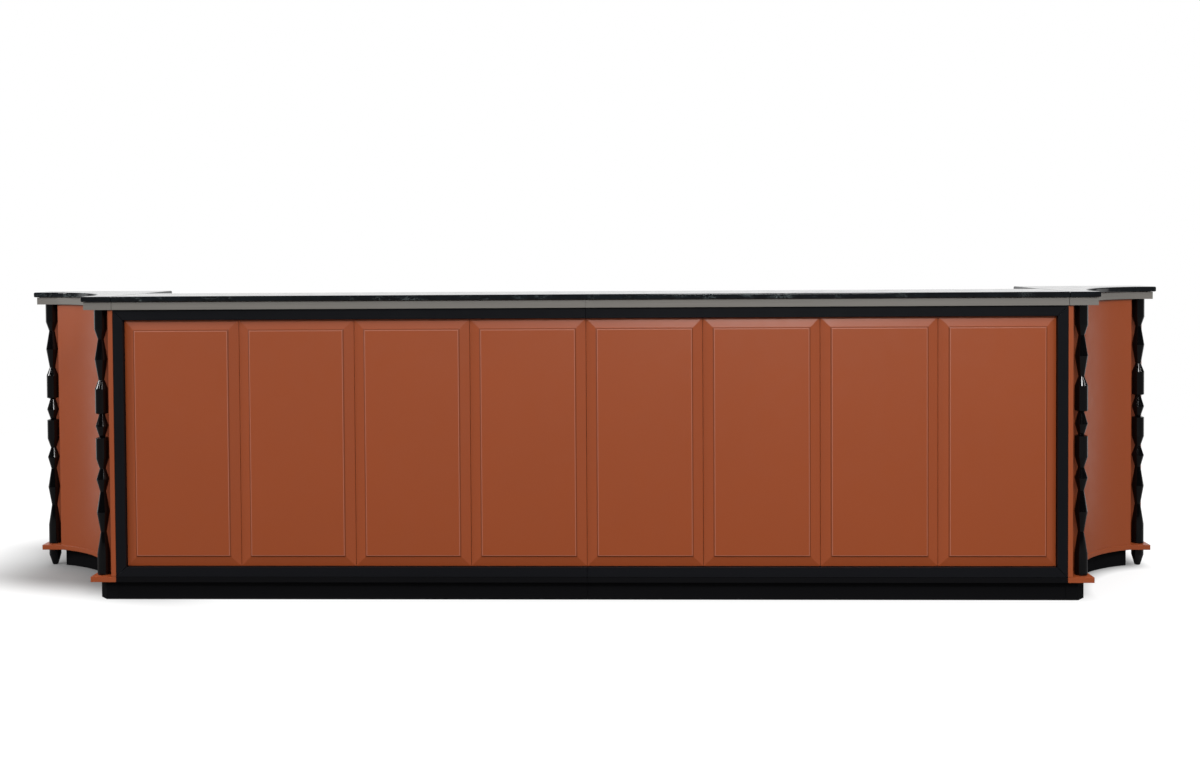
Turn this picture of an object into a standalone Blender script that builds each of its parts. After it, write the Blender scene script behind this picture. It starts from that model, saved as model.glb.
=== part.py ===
"""Reception desk: a panelled counter between two swept wings that carry turned columns.

Sizes are in metres. +X is the public's right, -Y faces the public and +Z is up.
Pieces are drawn from the face of the front frame (Y = 0) and hang on one empty,
which moves the origin to the middle of the footprint.
"""

import math

import bmesh
import bpy
from mathutils import Vector

# Heights and common clearances
HEIGHT = 1.100
SLAB_THICKNESS = 0.021
TOP_BOARD_THICKNESS = 0.028
BASE_THICKNESS = 0.0195
PLINTH_HEIGHT = 0.068
GAP = 0.0003

# Straight counter
COUNTER_HALF_WIDTH = 1.699
COUNTER_DEPTH = 0.278
TOP_OVERHANG = 0.0066
SLAB_OVERHANG = 0.008
SLAB_END_OVERHANG = 0.0113
SLAB_EASE = 0.003
PLINTH_RECESS = 0.024
PLINTH_BOARD = 0.018
PLINTH_BAYS = 4

# Front frame and its raised and fielded panels
FRAME_THICKNESS = 0.022
STILE_WIDTH = 0.037
TOP_RAIL_WIDTH = 0.0376
BOTTOM_RAIL_WIDTH = 0.0358
BACK_BOARD_THICKNESS = 0.018
PANELS_PER_HALF = 4
PANEL_JOINT = 0.001
PANEL_EDGE_SETBACK = 0.0155
BEVEL_WIDTH = 0.034
BEVEL_RISE = 0.008
SHOULDER_WIDTH = 0.005
SHOULDER_RISE = 0.0035
FIELD_ROUND_WIDTH = 0.002
FIELD_ROUND_RISE = 0.0006
FIELD_ROUND_STEPS = 3

# Wings: square tips for the columns, with a concave sweep between them
WING_WIDTH = 0.4945
WING_DEPTH = 0.574
WING_BOARD = 0.020
SIDE_BOARD = 0.017
POCKET_WIDTH = 0.077
POCKET_DEPTH = 0.088
SWEEP_RADIUS = 0.460
SWEEP_STEPS = 24
CURVED_PANEL_REVEAL = 0.002
WING_PLINTH_RECESS = 0.030
WING_PLINTH_CHAMFER = 0.030
WING_PLINTH_FLANK = 0.094
WING_PLINTH_END_SETBACK = 0.007
STILE_LAP = 0.037
SHELF_HEIGHT = 0.560
SHELF_THICKNESS = 0.018
SHELF_SETBACK = 0.010

# Turned columns and the feet under the rear ones
COLUMN_RADIUS = 0.0225
COLUMN_NECK_RADIUS = 0.0105
COLUMN_OFFSET = 0.0055
COLUMN_SIDES = 32
FOOT_RADIUS = 0.0225
FOOT_TIP_RADIUS = 0.0115
FOOT_TAPER = 0.042
FOOT_ROUND = 0.005

# Lengths of the turnings from the top down, each ending at full or at neck radius
COLUMN_TURNINGS = (
    (0.0710, COLUMN_RADIUS),
    (0.0370, COLUMN_NECK_RADIUS),
    (0.0735, COLUMN_RADIUS),
    (0.0735, COLUMN_NECK_RADIUS),
    (0.0320, COLUMN_RADIUS),
    (0.0890, COLUMN_RADIUS),
    (0.0060, COLUMN_NECK_RADIUS),
    (0.0415, COLUMN_RADIUS),
    (0.0385, COLUMN_NECK_RADIUS),
    (0.0040, COLUMN_RADIUS),
    (0.0750, COLUMN_RADIUS),
    (0.0377, COLUMN_NECK_RADIUS),
    (0.0375, COLUMN_RADIUS),
    (0.0455, COLUMN_NECK_RADIUS),
    (0.0745, COLUMN_RADIUS),
    (0.0725, COLUMN_NECK_RADIUS),
    (0.0785, COLUMN_RADIUS),
    (0.0758, COLUMN_RADIUS),
)

# Wing doors on continuous hinges
DOOR_REVEAL = 0.002
HINGE_GAP = 0.0018
HINGE_RADIUS = 0.004
HINGE_LEAF = 0.016
HINGE_SIDES = 16

# Staff side: worktop, centre gable and drawer pedestals
WORKTOP_HEIGHT = 0.740
WORKTOP_THICKNESS = 0.025
GABLE_THICKNESS = 0.036
GABLE_UPPER_DEPTH = 0.200
GABLE_SETBACK = 0.045
PEDESTAL_WIDTH = 0.420
CARCASS_BOARD = 0.018
CARCASS_BACK = 0.012
TOE_SETBACK = 0.045
RUNNER_WIDTH = 0.012
RUNNER_HEIGHT = 0.012
DRAWER_SHARES = (2, 1, 1)
DRAWER_WALL = 0.012
DRAWER_CLEARANCE = 0.0015
DRAWER_HEADROOM = 0.020
DRAWER_BACK_CLEARANCE = 0.010
FRONT_THICKNESS = 0.018
FRONT_SETBACK = 0.010
FRONT_REVEAL = 0.0015
FRONT_TENON = 0.004

# Levels of the stacked pieces
BASE_LOW = PLINTH_HEIGHT + GAP
BASE_HIGH = PLINTH_HEIGHT + BASE_THICKNESS
BODY_LOW = BASE_HIGH + GAP
TOP_BOARD_LOW = HEIGHT - SLAB_THICKNESS - TOP_BOARD_THICKNESS
BODY_HIGH = TOP_BOARD_LOW - GAP
SLAB_LOW = HEIGHT - SLAB_THICKNESS
TOP_BOARD_HIGH = SLAB_LOW - GAP
WORKTOP_LOW = WORKTOP_HEIGHT - WORKTOP_THICKNESS
PEDESTAL_HIGH = WORKTOP_LOW - GAP

# Lines across the counter, front to back
STAFF_FACE = FRAME_THICKNESS + GAP + BACK_BOARD_THICKNESS + GAP
BASE_REAR = COUNTER_DEPTH
PEDESTAL_REAR = WING_DEPTH - FRONT_SETBACK - FRONT_THICKNESS - GAP
SLAB_GROW = TOP_OVERHANG + SLAB_OVERHANG

# Lines along a wing
WING_INNER = COUNTER_HALF_WIDTH + GAP
SIDE_FACE = WING_INNER + SIDE_BOARD
FRONT_TIP_X = SIDE_FACE + POCKET_WIDTH
REAR_TIP_X = COUNTER_HALF_WIDTH + WING_WIDTH
REAR_POCKET_X = REAR_TIP_X - POCKET_WIDTH
REAR_STILE_Y = WING_DEPTH - WING_BOARD
REAR_TIP_Y = REAR_STILE_Y - POCKET_DEPTH
STILE_EDGE = REAR_POCKET_X - WING_BOARD - STILE_LAP
HINGE_X = STILE_EDGE - HINGE_GAP / 2
HINGE_Y = WING_DEPTH + HINGE_RADIUS + GAP

SIDES = (("left", -1), ("right", 1))


def sweep_centre():
    """Centre of the arc through the back of the front tip and the inner corner of the rear one."""
    start = Vector((FRONT_TIP_X, POCKET_DEPTH))
    end = Vector((REAR_POCKET_X, REAR_TIP_Y))
    chord = end - start
    reach = math.sqrt(SWEEP_RADIUS**2 - (chord.length / 2) ** 2)
    square = Vector((chord.y, -chord.x)).normalized()
    return (start + end) / 2 + square * reach


SWEEP = sweep_centre()


def surface(name, color, roughness, metallic=0.0):
    """A plain material with the piece's colour and sheen."""
    look = bpy.data.materials.new(name)
    look.use_nodes = True
    shader = look.node_tree.nodes["Principled BSDF"]
    shader.inputs["Base Color"].default_value = (*color, 1.0)
    shader.inputs["Roughness"].default_value = roughness
    shader.inputs["Metallic"].default_value = metallic
    return look


def loft(name, rings, look, closed=False, pivot=(0, 0, 0), smooth_angle=None):
    """Skins rings of equally many points. The end rings are capped, or joined to each other."""
    bm = bmesh.new()
    origin = Vector(pivot)
    rows = [[bm.verts.new(Vector(point) - origin) for point in ring] for ring in rings]
    pairs = list(zip(rows, rows[1:]))
    if closed:
        pairs.append((rows[-1], rows[0]))
    else:
        bm.faces.new(rows[0])
        bm.faces.new(rows[-1])
    for low, high in pairs:
        for i, corner in enumerate(low):
            j = (i + 1) % len(low)
            bm.faces.new((corner, low[j], high[j], high[i]))
    bmesh.ops.recalc_face_normals(bm, faces=bm.faces)
    mesh = bpy.data.meshes.new(name)
    bm.to_mesh(mesh)
    bm.free()
    mesh.materials.append(look)
    if smooth_angle is not None:
        mesh.shade_smooth()
        mesh.set_sharp_from_angle(angle=math.radians(smooth_angle))
    obj = bpy.data.objects.new(name, mesh)
    bpy.context.scene.collection.objects.link(obj)
    obj.parent = bpy.data.objects["desk"]
    obj.location = origin
    return obj


def level(outline, z):
    """Places a plan outline at a height."""
    return [(x, y, z) for x, y in outline]


def board(name, outline, low, high, look, **options):
    """A plan outline raised from one height to another."""
    return loft(name, [level(outline, low), level(outline, high)], look, **options)


def facing(name, outline, near, far, look, **options):
    """An outline seen from the front, thickened from near to far along Y."""
    rings = [[(x, y, z) for x, z in outline] for y in (near, far)]
    return loft(name, rings, look, **options)


def profile(name, outline, left, right, look, **options):
    """An outline seen from the side, thickened from left to right along X."""
    rings = [[(x, y, z) for y, z in outline] for x in (left, right)]
    return loft(name, rings, look, **options)


def eased(name, outline_of, low, high, look):
    """A slab whose upper and lower edges are taken off by the ease."""
    rings = [
        level(outline_of(-SLAB_EASE), low),
        level(outline_of(0.0), low + SLAB_EASE),
        level(outline_of(0.0), high - SLAB_EASE),
        level(outline_of(-SLAB_EASE), high),
    ]
    return loft(name, rings, look)


def rectangle(left, right, low, high):
    return [(left, low), (right, low), (right, high), (left, high)]


def mirrored(outline, side):
    """The outline on the named side of the counter's middle."""
    return [(side * x, y) for x, y in outline]


def helper(obj):
    """Keeps a cutter or a joined piece out of the finished desk."""
    obj.hide_render = True
    obj.display_type = "WIRE"
    return obj


def combine(obj, other, operation):
    """Joins a helper to a piece, or cuts it out."""
    modifier = obj.modifiers.new(operation.lower(), "BOOLEAN")
    modifier.object = helper(other)
    modifier.operation = operation


def sweep_point_at_x(radius, x):
    return (x, SWEEP.y + math.sqrt(max(0.0, radius**2 - (x - SWEEP.x) ** 2)))


def sweep_point_at_y(radius, y):
    return (SWEEP.x - math.sqrt(max(0.0, radius**2 - (y - SWEEP.y) ** 2)), y)


def sweep_arc(start, end):
    """Points along the sweep from one point to another at the same radius."""
    radius = (Vector(start) - SWEEP).length
    first = math.atan2(start[1] - SWEEP.y, start[0] - SWEEP.x) % math.tau
    last = math.atan2(end[1] - SWEEP.y, end[0] - SWEEP.x) % math.tau
    angles = [first + (last - first) * i / SWEEP_STEPS for i in range(SWEEP_STEPS + 1)]
    return [(SWEEP.x + radius * math.cos(a), SWEEP.y + radius * math.sin(a)) for a in angles]


def wing_outline(grow, inner, end_grow):
    """Plan of a wing, grown on its free edges and its end: front tip, sweep, rear tip, straight back."""
    radius = SWEEP_RADIUS - grow
    start = sweep_point_at_x(radius, FRONT_TIP_X + grow)
    end = sweep_point_at_y(radius, REAR_TIP_Y - grow)
    return [
        (inner, -grow),
        (FRONT_TIP_X + grow, -grow),
        *sweep_arc(start, end),
        (REAR_TIP_X + end_grow, REAR_TIP_Y - grow),
        (REAR_TIP_X + end_grow, WING_DEPTH + grow),
        (inner, WING_DEPTH + grow),
    ]


def wing_plinth_outline(inset):
    """Plan of the wing's plinth, set back under the base: chamfered corner, straight flank, sweep."""
    radius = SWEEP_RADIUS + WING_PLINTH_RECESS + inset
    front = PLINTH_RECESS + inset
    rear = WING_DEPTH - PLINTH_RECESS - inset
    end_x = REAR_POCKET_X - WING_PLINTH_END_SETBACK - inset
    chamfer_end = PLINTH_RECESS + WING_PLINTH_CHAMFER
    start = sweep_point_at_y(radius, chamfer_end + WING_PLINTH_FLANK)
    # Shift along its edges of a corner of half a right angle when the outline is inset
    slide = inset * math.tan(math.pi / 8)
    return [
        (WING_INNER + inset, front),
        (start[0] + inset - WING_PLINTH_CHAMFER - slide, front),
        (start[0], chamfer_end + slide),
        *sweep_arc(start, sweep_point_at_x(radius, end_x)),
        (end_x, rear),
        (WING_INNER + inset, rear),
    ]


def curved_panel_outline():
    """Plan of the bent panel: back of the front pocket, sweep, and return beside the rear pocket."""
    outer = SWEEP_RADIUS + CURVED_PANEL_REVEAL
    inner = outer + WING_BOARD
    side = SIDE_FACE + GAP
    wall_back = POCKET_DEPTH + WING_BOARD
    return_face = REAR_POCKET_X - WING_BOARD
    rear = REAR_STILE_Y - GAP
    outer_arc = sweep_arc(
        sweep_point_at_y(outer, POCKET_DEPTH), sweep_point_at_x(outer, REAR_POCKET_X)
    )
    inner_arc = sweep_arc(
        sweep_point_at_x(inner, return_face), sweep_point_at_y(inner, wall_back)
    )
    return [
        (side, POCKET_DEPTH),
        *outer_arc,
        (REAR_POCKET_X, rear),
        (return_face, rear),
        *inner_arc,
        (side, wall_back),
    ]


def shelf_outline():
    """Plan of the shelf that fills the wing behind the bent panel."""
    radius = SWEEP_RADIUS + CURVED_PANEL_REVEAL + WING_BOARD + GAP
    front = POCKET_DEPTH + WING_BOARD + GAP
    end_x = REAR_POCKET_X - WING_BOARD - GAP
    rear = REAR_STILE_Y - SHELF_SETBACK
    start = sweep_point_at_y(radius, front)
    return [
        (SIDE_FACE + GAP, front),
        *sweep_arc(start, sweep_point_at_x(radius, end_x)),
        (end_x, rear),
        (SIDE_FACE + GAP, rear),
    ]


def hinge_outline():
    """Plan of a continuous hinge: a barrel on a leaf that lies in the gap beside the door."""
    half = HINGE_GAP / 2 - GAP
    spread = math.asin(half / HINGE_RADIUS)
    first = -math.pi / 2 - spread
    turn = math.tau - 2 * spread
    angles = [first - turn * i / HINGE_SIDES for i in range(HINGE_SIDES + 1)]
    barrel = [
        (HINGE_X + HINGE_RADIUS * math.cos(a), HINGE_Y + HINGE_RADIUS * math.sin(a)) for a in angles
    ]
    return [(HINGE_X - half, WING_DEPTH - HINGE_LEAF), *barrel, (HINGE_X + half, WING_DEPTH - HINGE_LEAF)]


def plinth_comb():
    """Plan of half the counter's plinth: a front board with ribs running back from it."""
    face = PLINTH_RECESS
    back = face + PLINTH_BOARD
    rib_end = BASE_REAR - PLINTH_RECESS
    pitch = (COUNTER_HALF_WIDTH - GAP / 2 - PLINTH_BOARD) / PLINTH_BAYS
    outline = [(GAP / 2, face), (COUNTER_HALF_WIDTH, face)]
    for i in reversed(range(PLINTH_BAYS + 1)):
        left = GAP / 2 + i * pitch
        right = left + PLINTH_BOARD
        outline += [(right, back), (right, rib_end), (left, rib_end), (left, back)]
    return [point for point in outline if point not in ((COUNTER_HALF_WIDTH, back), (GAP / 2, back))]


def turned(name, stations, axis, look):
    """A round piece about a vertical axis, from heights and radii."""
    turns = [math.tau * i / COLUMN_SIDES for i in range(COLUMN_SIDES)]
    rings = [
        [(axis[0] + radius * math.cos(a), axis[1] + radius * math.sin(a), z) for a in turns]
        for z, radius in stations
    ]
    return loft(name, rings, look, smooth_angle=25)


def column_stations():
    """Heights and radii of a column, its turnings stretched to stand between base and top board."""
    stretch = (BODY_HIGH - BODY_LOW) / sum(length for length, _ in COLUMN_TURNINGS)
    z = BODY_HIGH
    stations = [(z, COLUMN_RADIUS)]
    for length, radius in COLUMN_TURNINGS:
        z -= length * stretch
        stations.append((z, radius))
    return stations


def foot_stations():
    """Heights and radii of a foot: rounded tip, taper, then straight up to the base."""
    steps = 4
    rounding = [
        (
            FOOT_ROUND * (1 - math.cos(math.pi / 2 * i / steps)),
            FOOT_TIP_RADIUS - FOOT_ROUND * (1 - math.sin(math.pi / 2 * i / steps)),
        )
        for i in range(steps + 1)
    ]
    return [*rounding, (FOOT_TAPER, FOOT_RADIUS), (PLINTH_HEIGHT, FOOT_RADIUS)]


def make_counter_base(word, side):
    """Plinth, base board, back board and top board of half the counter."""
    near_middle = GAP / 2
    board(f"counter_plinth_{word}", mirrored(plinth_comb(), side), 0.0, PLINTH_HEIGHT, BLACK)
    base = rectangle(near_middle, COUNTER_HALF_WIDTH, 0.0, BASE_REAR)
    board(f"counter_base_{word}", mirrored(base, side), BASE_LOW, BASE_HIGH, BLACK)
    back = rectangle(near_middle, COUNTER_HALF_WIDTH, FRAME_THICKNESS + GAP, STAFF_FACE - GAP)
    board(f"back_board_{word}", mirrored(back, side), BODY_LOW, BODY_HIGH, BLACK)
    top = rectangle(near_middle, COUNTER_HALF_WIDTH, -TOP_OVERHANG, COUNTER_DEPTH)
    board(f"counter_board_{word}", mirrored(top, side), TOP_BOARD_LOW, TOP_BOARD_HIGH, TAUPE)


def make_front_frame(word, side):
    """Mitred rails and stile of half the front."""
    inner_x = COUNTER_HALF_WIDTH - STILE_WIDTH
    low = BODY_LOW + BOTTOM_RAIL_WIDTH
    high = BODY_HIGH - TOP_RAIL_WIDTH
    # Sideways shift of a rail's mitre that leaves the common gap square to it
    mitre_gap = 1.5 * GAP
    middle = GAP / 2
    top_rail = [
        (middle, high),
        (inner_x - mitre_gap, high),
        (COUNTER_HALF_WIDTH - mitre_gap, BODY_HIGH),
        (middle, BODY_HIGH),
    ]
    bottom_rail = [
        (middle, BODY_LOW),
        (COUNTER_HALF_WIDTH - mitre_gap, BODY_LOW),
        (inner_x - mitre_gap, low),
        (middle, low),
    ]
    stile = [
        (COUNTER_HALF_WIDTH, BODY_LOW),
        (COUNTER_HALF_WIDTH, BODY_HIGH),
        (inner_x, high),
        (inner_x, low),
    ]
    for name, outline in (("top_rail", top_rail), ("bottom_rail", bottom_rail), ("stile", stile)):
        facing(f"{name}_{word}", mirrored(outline, side), 0.0, FRAME_THICKNESS, BLACK)


def make_front_panels():
    """The row of raised and fielded panels, numbered from the public's left."""
    pitch = (COUNTER_HALF_WIDTH - STILE_WIDTH) / PANELS_PER_HALF
    low = BODY_LOW + BOTTOM_RAIL_WIDTH + PANEL_JOINT / 2
    high = BODY_HIGH - TOP_RAIL_WIDTH - PANEL_JOINT / 2
    shoulder = PANEL_EDGE_SETBACK - BEVEL_RISE
    steps = [(0.0, FRAME_THICKNESS), (0.0, PANEL_EDGE_SETBACK), (BEVEL_WIDTH, shoulder)]
    for i in range(FIELD_ROUND_STEPS + 1):
        part = i / FIELD_ROUND_STEPS
        inset = BEVEL_WIDTH + SHOULDER_WIDTH + FIELD_ROUND_WIDTH * part
        rise = SHOULDER_RISE + FIELD_ROUND_RISE * part * (2 - part)
        steps.append((inset, shoulder - rise))
    for i in range(2 * PANELS_PER_HALF):
        left = (i - PANELS_PER_HALF) * pitch + PANEL_JOINT / 2
        right = left + pitch - PANEL_JOINT
        rings = []
        for inset, y in steps:
            outline = rectangle(left + inset, right - inset, low + inset, high - inset)
            rings.append([(x, y, z) for x, z in outline])
        loft(f"front_panel_{i + 1}", rings, TERRACOTTA)


def make_counter_slab():
    """The stone top of the counter, in one length between the wings."""

    def outline(grow):
        half = COUNTER_HALF_WIDTH + grow
        return rectangle(-half, half, -SLAB_GROW - grow, COUNTER_DEPTH + SLAB_OVERHANG + grow)

    eased("counter_slab", outline, SLAB_LOW, HEIGHT, MARBLE)


def make_wing_shell(word, side):
    """Plinth, base, boards, curved panel, shelf and stone top of a wing."""
    plinth_outer = mirrored(wing_plinth_outline(0.0), side)
    plinth_inner = mirrored(wing_plinth_outline(PLINTH_BOARD), side)
    plinth_rings = [
        level(plinth_outer, 0.0),
        level(plinth_outer, PLINTH_HEIGHT),
        level(plinth_inner, PLINTH_HEIGHT),
        level(plinth_inner, 0.0),
    ]
    loft(f"wing_plinth_{word}", plinth_rings, BLACK, closed=True, smooth_angle=25)
    base = mirrored(wing_outline(0.0, WING_INNER, 0.0), side)
    board(f"wing_base_{word}", base, BASE_LOW, BASE_HIGH, TERRACOTTA, smooth_angle=25)
    side_board = mirrored(rectangle(WING_INNER, SIDE_FACE, 0.0, WING_DEPTH), side)
    board(f"wing_side_{word}", side_board, BODY_LOW, BODY_HIGH, TERRACOTTA)
    bent = mirrored(curved_panel_outline(), side)
    board(f"wing_curved_panel_{word}", bent, BODY_LOW, BODY_HIGH, TERRACOTTA, smooth_angle=25)
    stile = mirrored(rectangle(STILE_EDGE, REAR_TIP_X, REAR_STILE_Y, WING_DEPTH), side)
    board(f"wing_rear_stile_{word}", stile, BODY_LOW, BODY_HIGH, TERRACOTTA)
    shelf = mirrored(shelf_outline(), side)
    board(f"wing_shelf_{word}", shelf, SHELF_HEIGHT - SHELF_THICKNESS, SHELF_HEIGHT, BLACK)
    top = mirrored(wing_outline(TOP_OVERHANG, WING_INNER, 0.0), side)
    board(f"wing_board_{word}", top, TOP_BOARD_LOW, TOP_BOARD_HIGH, TAUPE, smooth_angle=25)

    def slab_outline(grow):
        return mirrored(wing_outline(SLAB_GROW + grow, WING_INNER - grow, SLAB_END_OVERHANG + grow), side)

    eased(f"wing_slab_{word}", slab_outline, SLAB_LOW, HEIGHT, MARBLE)


def make_columns(word, side):
    """The two turned columns of a wing and the foot under the rear one."""
    front = (FRONT_TIP_X - POCKET_WIDTH / 2 + COLUMN_OFFSET, POCKET_DEPTH / 2)
    rear = (REAR_TIP_X - POCKET_WIDTH / 2 + COLUMN_OFFSET, REAR_TIP_Y + POCKET_DEPTH / 2)
    for name, (x, y) in (("front_column", front), ("rear_column", rear)):
        turned(f"{name}_{word}", column_stations(), (side * x, y), GLOSS_BLACK)
    turned(f"rear_foot_{word}", foot_stations(), (side * rear[0], rear[1]), GLOSS_BLACK)


def make_wing_door(word, side):
    """The wing's cupboard door and its continuous hinge."""
    low = BODY_LOW + DOOR_REVEAL
    high = BODY_HIGH - DOOR_REVEAL
    hinge = mirrored(hinge_outline(), side)
    board(f"wing_door_hinge_{word}", hinge, low, high, STEEL, smooth_angle=40)
    door = rectangle(SIDE_FACE + DOOR_REVEAL, STILE_EDGE - HINGE_GAP, REAR_STILE_Y, WING_DEPTH)
    pivot = (side * HINGE_X, HINGE_Y, low)
    board(f"wing_door_{word}", mirrored(door, side), low, high, TERRACOTTA, pivot=pivot)


def make_staff_boards():
    """The worktops and the gable that carries them at the middle of the counter."""
    half = GABLE_THICKNESS / 2
    upper_rear = STAFF_FACE + GABLE_UPPER_DEPTH
    lower_rear = WING_DEPTH - GABLE_SETBACK
    gable = [
        (STAFF_FACE, BODY_LOW),
        (BASE_REAR + GAP, BODY_LOW),
        (BASE_REAR + GAP, 0.0),
        (lower_rear, 0.0),
        (lower_rear, PEDESTAL_HIGH),
        (upper_rear, PEDESTAL_HIGH),
        (upper_rear, BODY_HIGH),
        (STAFF_FACE, BODY_HIGH),
    ]
    profile("centre_gable", gable, -half, half, BLACK)
    worktop = [
        (half + GAP, STAFF_FACE),
        (COUNTER_HALF_WIDTH, STAFF_FACE),
        (COUNTER_HALF_WIDTH, WING_DEPTH),
        (GAP / 2, WING_DEPTH),
        (GAP / 2, upper_rear + GAP),
        (half + GAP, upper_rear + GAP),
    ]
    for word, side in SIDES:
        board(f"worktop_{word}", mirrored(worktop, side), WORKTOP_LOW, WORKTOP_HEIGHT, TAUPE)


def drawer_bays():
    """Heights that part the drawers, from the carcass floor up."""
    low = BODY_LOW + CARCASS_BOARD
    unit = (PEDESTAL_HIGH - CARCASS_BOARD - low) / sum(DRAWER_SHARES)
    return [low + unit * sum(DRAWER_SHARES[:i]) for i in range(len(DRAWER_SHARES) + 1)]


def make_pedestal(word, side):
    """A drawer carcass under the worktop, with ledges inside for the drawers to run on."""
    left = COUNTER_HALF_WIDTH - PEDESTAL_WIDTH
    right = COUNTER_HALF_WIDTH
    toe = PEDESTAL_REAR - TOE_SETBACK
    outline = [
        (STAFF_FACE, BODY_LOW),
        (BASE_REAR + GAP, BODY_LOW),
        (BASE_REAR + GAP, 0.0),
        (toe, 0.0),
        (toe, BODY_LOW),
        (PEDESTAL_REAR, BODY_LOW),
        (PEDESTAL_REAR, PEDESTAL_HIGH),
        (STAFF_FACE, PEDESTAL_HIGH),
    ]
    carcass = profile(f"pedestal_{word}", outline, side * left, side * right, BLACK)
    wall_in, wall_out = left + CARCASS_BOARD, right - CARCASS_BOARD
    bays = drawer_bays()
    near_wall = []
    for low, high in zip(bays, bays[1:]):
        ledge = low + RUNNER_HEIGHT
        near_wall += [(RUNNER_WIDTH, low), (RUNNER_WIDTH, ledge), (0.0, ledge), (0.0, high)]
    hollow = [(wall_in + x, z) for x, z in near_wall]
    hollow += [(wall_out - x, z) for x, z in reversed(near_wall)]
    cavity = facing(
        f"pedestal_cavity_{word}",
        mirrored(hollow, side),
        STAFF_FACE + CARCASS_BACK,
        PEDESTAL_REAR + CARCASS_BOARD,
        BLACK,
    )
    combine(carcass, cavity, "DIFFERENCE")
    under = rectangle(wall_in, wall_out, BASE_REAR + GAP + CARCASS_BOARD, toe - CARCASS_BOARD)
    toe_hollow = board(f"pedestal_toe_{word}", mirrored(under, side), -CARCASS_BOARD, BODY_LOW, BLACK)
    combine(carcass, toe_hollow, "DIFFERENCE")


def make_drawers(word, side):
    """The drawers of a pedestal, numbered from the lowest: open boxes with overlaid fronts."""
    left = COUNTER_HALF_WIDTH - PEDESTAL_WIDTH
    right = COUNTER_HALF_WIDTH
    inset = CARCASS_BOARD + DRAWER_CLEARANCE
    front_face = PEDESTAL_REAR + GAP
    back = STAFF_FACE + CARCASS_BACK + DRAWER_BACK_CLEARANCE
    bays = drawer_bays()
    last = len(DRAWER_SHARES) - 1
    for i in range(len(DRAWER_SHARES)):
        floor = bays[i] + RUNNER_HEIGHT + GAP
        rim = bays[i + 1] - DRAWER_HEADROOM
        outer = rectangle(left + inset, right - inset, back, front_face + FRONT_TENON)
        inner = rectangle(
            left + inset + DRAWER_WALL,
            right - inset - DRAWER_WALL,
            back + DRAWER_WALL,
            front_face + FRONT_TENON - DRAWER_WALL,
        )
        rings = [
            level(mirrored(outer, side), floor),
            level(mirrored(outer, side), rim),
            level(mirrored(inner, side), rim),
            level(mirrored(inner, side), floor + DRAWER_WALL),
        ]
        pivot = (side * (left + right) / 2, front_face, floor)
        drawer = loft(f"drawer_{word}_{i + 1}", rings, TERRACOTTA, pivot=pivot)
        low = bays[i] - (CARCASS_BOARD if i == 0 else 0.0) + FRONT_REVEAL
        high = bays[i + 1] + (CARCASS_BOARD if i == last else 0.0) - FRONT_REVEAL
        face = rectangle(left + FRONT_REVEAL, right - FRONT_REVEAL, low, high)
        front = facing(
            f"drawer_front_{word}_{i + 1}",
            mirrored(face, side),
            front_face,
            front_face + FRONT_THICKNESS,
            TERRACOTTA,
        )
        combine(drawer, front, "UNION")


for old in list(bpy.data.objects):
    bpy.data.objects.remove(old)

TERRACOTTA = surface("terracotta lacquer", (0.290, 0.060, 0.016), 0.40)
BLACK = surface("black satin lacquer", (0.0045, 0.0048, 0.0060), 0.42)
GLOSS_BLACK = surface("black gloss lacquer", (0.0022, 0.0022, 0.0026), 0.10)
TAUPE = surface("taupe lacquer", (0.160, 0.150, 0.136), 0.38)
MARBLE = surface("black marble", (0.0030, 0.0036, 0.0044), 0.10)
STEEL = surface("satin steel", (0.550, 0.550, 0.560), 0.30, 1.0)

desk = bpy.data.objects.new("desk", None)
bpy.context.scene.collection.objects.link(desk)
desk.location.y = -WING_DEPTH / 2

make_front_panels()
make_counter_slab()
make_staff_boards()
for side_word, side_sign in SIDES:
    make_counter_base(side_word, side_sign)
    make_front_frame(side_word, side_sign)
    make_wing_shell(side_word, side_sign)
    make_columns(side_word, side_sign)
    make_wing_door(side_word, side_sign)
    make_pedestal(side_word, side_sign)
    make_drawers(side_word, side_sign)
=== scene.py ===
"""Reception desk: finishes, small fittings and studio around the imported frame.

Sizes are in metres. +Z is up, the public stands at -Y and the staff at +Y.
"""

import math

import bmesh
import bpy
from bpy.props import FloatProperty, FloatVectorProperty, IntProperty, PointerProperty
from mathutils import Matrix, Vector


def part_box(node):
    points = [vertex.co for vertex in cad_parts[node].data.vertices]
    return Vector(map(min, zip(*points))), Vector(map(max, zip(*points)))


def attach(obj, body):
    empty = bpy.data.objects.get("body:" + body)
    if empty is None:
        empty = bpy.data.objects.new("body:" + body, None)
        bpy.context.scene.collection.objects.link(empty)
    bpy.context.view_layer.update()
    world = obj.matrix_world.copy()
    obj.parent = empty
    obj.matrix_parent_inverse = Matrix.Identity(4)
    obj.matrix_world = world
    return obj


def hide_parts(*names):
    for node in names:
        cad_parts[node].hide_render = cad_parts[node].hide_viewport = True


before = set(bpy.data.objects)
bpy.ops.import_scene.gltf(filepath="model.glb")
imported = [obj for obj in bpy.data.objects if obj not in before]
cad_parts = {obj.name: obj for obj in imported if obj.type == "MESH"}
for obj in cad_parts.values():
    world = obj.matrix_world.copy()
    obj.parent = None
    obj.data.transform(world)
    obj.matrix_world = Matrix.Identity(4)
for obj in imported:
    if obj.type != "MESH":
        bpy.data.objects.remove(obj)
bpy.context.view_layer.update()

bl_info = {
    "name": "Reception Desk",
    "version": (1, 0, 0),
    "blender": (4, 5, 0),
    "location": "3D View > Sidebar > Desk",
    "description": "Finishes, fittings and studio for a panelled reception desk with swept wings",
    "category": "Object",
}

SIDES = (("left", -1), ("right", 1))

# Points nearer to each other than this are one point
SAME_POINT = 1e-5
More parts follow.
